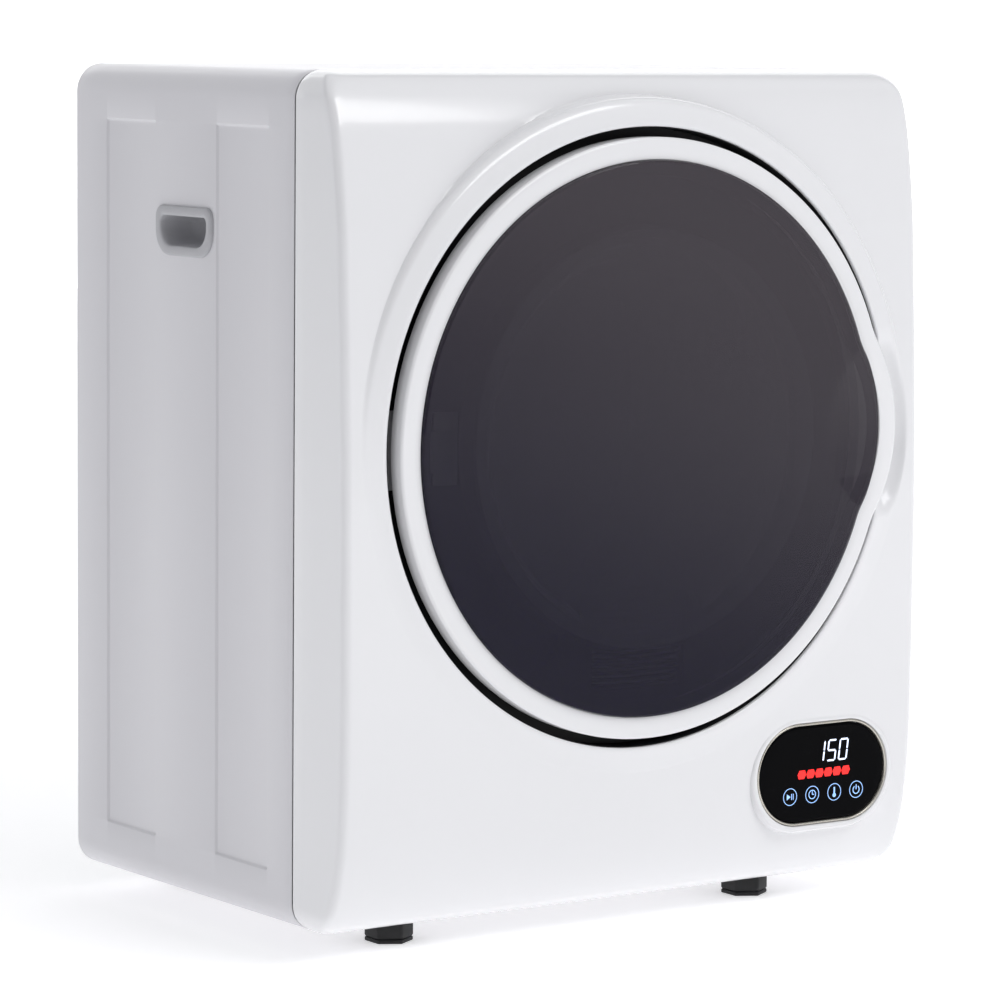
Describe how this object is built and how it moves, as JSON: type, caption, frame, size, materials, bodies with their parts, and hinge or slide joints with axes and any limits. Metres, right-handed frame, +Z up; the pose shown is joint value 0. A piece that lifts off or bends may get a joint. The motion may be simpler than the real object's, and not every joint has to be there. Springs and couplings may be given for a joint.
{
  "type": "clothes dryer",
  "caption": "Compact front-loading vented clothes dryer: white steel cabinet, bowed front, round smoked door, touch control pod, side grips and levelling feet.",
  "frame": {"origin": "on the floor, under the middle of the overall box", "axes": "+X to the machine's right seen from the front, -Y out of the front, +Z up"},
  "size_m": [0.5, 0.402, 0.604],
  "materials": {
    "white_enamel": "white enamelled sheet steel",
    "white_gloss": "glossy white ABS moulding",
    "smoked_pane": "smoked clear plastic",
    "clear_dish": "clear polycarbonate",
    "dark_plastic": "black moulded plastic",
    "grey_plastic": "grey moulded plastic",
    "white_plastic": "white moulded plastic",
    "black_glass": "black touch glass",
    "silver_trim": "silver painted trim",
    "zinc_steel": "zinc-plated sheet steel",
    "stainless": "brushed stainless steel",
    "cast_aluminium": "die-cast aluminium",
    "rubber": "black rubber",
    "felt": "pressed wool felt",
    "ceramic_heater": "lacquered heater block",
    "circuit_board": "green solder resist"
  },
  "bodies": {
    "casing": {"cabinet_wrap": "white_enamel", "base_plate": "zinc_steel", "rear_panel": "zinc_steel", "cord_gland": "dark_plastic", "side_grip_left": "grey_plastic", "side_grip_right": "grey_plastic", "front_fascia": "white_gloss", "front_bulkhead": "zinc_steel", "rear_bulkhead": "zinc_steel", "drum_throat": "white_plastic", "felt_seal": "felt", "hinge_bracket": "cast_aluminium", "door_catch": "white_plastic", "door_switch": "white_plastic", "control_bezel": "silver_trim", "control_glass": "black_glass", "control_board": "circuit_board", "bearing_bush": "cast_aluminium", "drum_belt": "rubber", "idler_spring": "stainless", "motor_bracket": "zinc_steel", "motor_body": "cast_aluminium", "capacitor": "grey_plastic", "blower_housing": "grey_plastic", "exhaust_duct": "zinc_steel", "exhaust_collar": "dark_plastic", "lint_duct": "grey_plastic", "heater_case": "zinc_steel", "heater_element": "ceramic_heater", "thermostat": "cast_aluminium"},
    "door": {"door_ring": "white_gloss", "door_pane": "smoked_pane", "door_inner_dish": "clear_dish", "door_back_frame": "dark_plastic", "door_seal": "rubber", "hinge_leaf": "zinc_steel", "hinge_pin": "stainless", "latch_hook": "white_plastic"},
    "drum": {"drum_shell": "stainless", "drum_back": "stainless", "drum_shaft": "zinc_steel", "drum_lifter_1": "white_plastic", "drum_lifter_2": "white_plastic", "drum_lifter_3": "white_plastic"},
    "motor_shaft": {"motor_rotor": "stainless", "motor_pulley": "zinc_steel", "blower_impeller": "white_plastic"},
    "idler_arm": {"idler_arm": "zinc_steel"},
    "idler_wheel": {"idler_wheel": "dark_plastic"},
    "lint_filter": {"lint_frame": "dark_plastic", "lint_screen": "stainless"},
    "door_plunger": {"door_plunger": "white_plastic"},
    "foot_front_left": {"foot_front_left": "dark_plastic"},
    "foot_front_right": {"foot_front_right": "dark_plastic"},
    "foot_rear_left": {"foot_rear_left": "dark_plastic"},
    "foot_rear_right": {"foot_rear_right": "dark_plastic"}
  },
  "joints": [
    {"name": "door_hinge", "type": "hinge", "parent": "casing", "child": "door", "pos_m": [-0.197, -0.1915, 0.35], "axis": [0, 0, -1], "range_deg": [0, 105]},
    {"name": "drum_spin", "type": "hinge", "parent": "casing", "child": "drum", "pos_m": [0, 0, 0.35], "axis": [0, 1, 0], "continuous": true},
    {"name": "motor_spin", "type": "hinge", "parent": "casing", "child": "motor_shaft", "pos_m": [0.11, 0, 0.078], "axis": [0, 1, 0], "continuous": true},
    {"name": "idler_tension", "type": "hinge", "parent": "casing", "child": "idler_arm", "pos_m": [0.02022, 0.077, 0.06823], "axis": [0, 1, 0], "range_deg": [0, 12], "stiffness_Nm_per_rad": 2},
    {"name": "idler_spin", "type": "hinge", "parent": "idler_arm", "child": "idler_wheel", "pos_m": [0.04362, 0.068, 0.07993], "axis": [0, 1, 0], "continuous": true},
    {"name": "lint_filter_slide", "type": "slide", "parent": "door", "child": "lint_filter", "axis": [0, 0, 1], "range_m": [0, 0.055]},
    {"name": "door_plunger_slide", "type": "slide", "parent": "casing", "child": "door_plunger", "axis": [0, -1, 0], "range_m": [0, 0.0035]},
    {"name": "foot_front_left_height", "type": "slide", "parent": "casing", "child": "foot_front_left", "axis": [0, 0, -1], "range_m": [0, 0.012]},
    {"name": "foot_front_right_height", "type": "slide", "parent": "casing", "child": "foot_front_right", "axis": [0, 0, -1], "range_m": [0, 0.012]},
    {"name": "foot_rear_left_height", "type": "slide", "parent": "casing", "child": "foot_rear_left", "axis": [0, 0, -1], "range_m": [0, 0.012]},
    {"name": "foot_rear_right_height", "type": "slide", "parent": "casing", "child": "foot_rear_right", "axis": [0, 0, -1], "range_m": [0, 0.012]}
  ],
  "couplings": [
    {"joint": "motor_spin", "follows": "drum_spin", "ratio": 23.192},
    {"joint": "idler_spin", "follows": "drum_spin", "ratio": -18.167},
    {"joint": "door_plunger_slide", "follows": "door_hinge", "m_per_rad": 0.0016}
  ]
}
